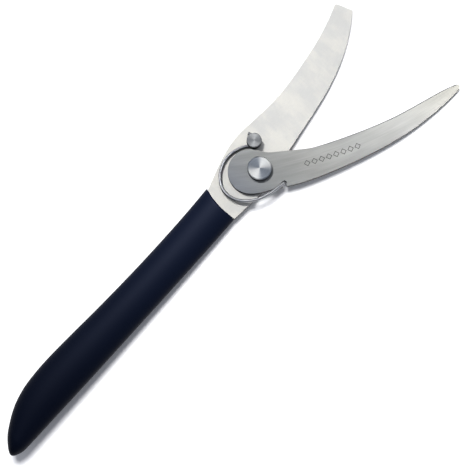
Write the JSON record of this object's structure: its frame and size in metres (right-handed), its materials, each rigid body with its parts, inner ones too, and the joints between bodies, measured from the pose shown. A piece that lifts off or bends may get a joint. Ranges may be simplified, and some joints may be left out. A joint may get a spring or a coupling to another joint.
{
  "type": "poultry shears",
  "caption": "One-handed poultry shears: a curved fixed blade with a tang in a soft grip, and a curved swing blade that a wire spring pulls open about a turned pivot.",
  "frame": {"origin": "centre of the pivot's flat rear face, on the pivot axis", "axes": "+X along the tool from the grip to the blade tips; +Z along the pivot axis from its rear face to its turned head; +Y towards the back of the fixed blade; the swing blade opens towards -Y"},
  "size_m": [0.3, 0.0801, 0.0151],
  "materials": {
    "fixed_steel": "fine satin stainless",
    "swing_steel": "brushed stainless, grain along the blade",
    "turned_steel": "turned stainless with concentric grain",
    "spring_wire": "drawn spring wire, bright",
    "grip_core": "moulded",
    "soft_grip": "matte soft-touch moulding"
  },
  "bodies": {
    "handle": {"fixed_blade": "fixed_steel", "grip_core": "grip_core", "grip_cover": "soft_grip", "pivot_bolt": "turned_steel", "pivot_nut": "turned_steel", "spring_washer": "spring_wire", "spring_stud": "turned_steel", "return_spring": "spring_wire"},
    "swing": {"swing_blade": "swing_steel"}
  },
  "joints": [
    {"name": "swing_pivot", "type": "hinge", "parent": "handle", "child": "swing", "pos_m": [0, 0, 0.0068], "axis": [0, 0, 1], "range_deg": [0, 38], "stiffness_Nm_per_rad": 0.25, "springref_deg": -22.92, "deforming": ["return_spring"]}
  ]
}
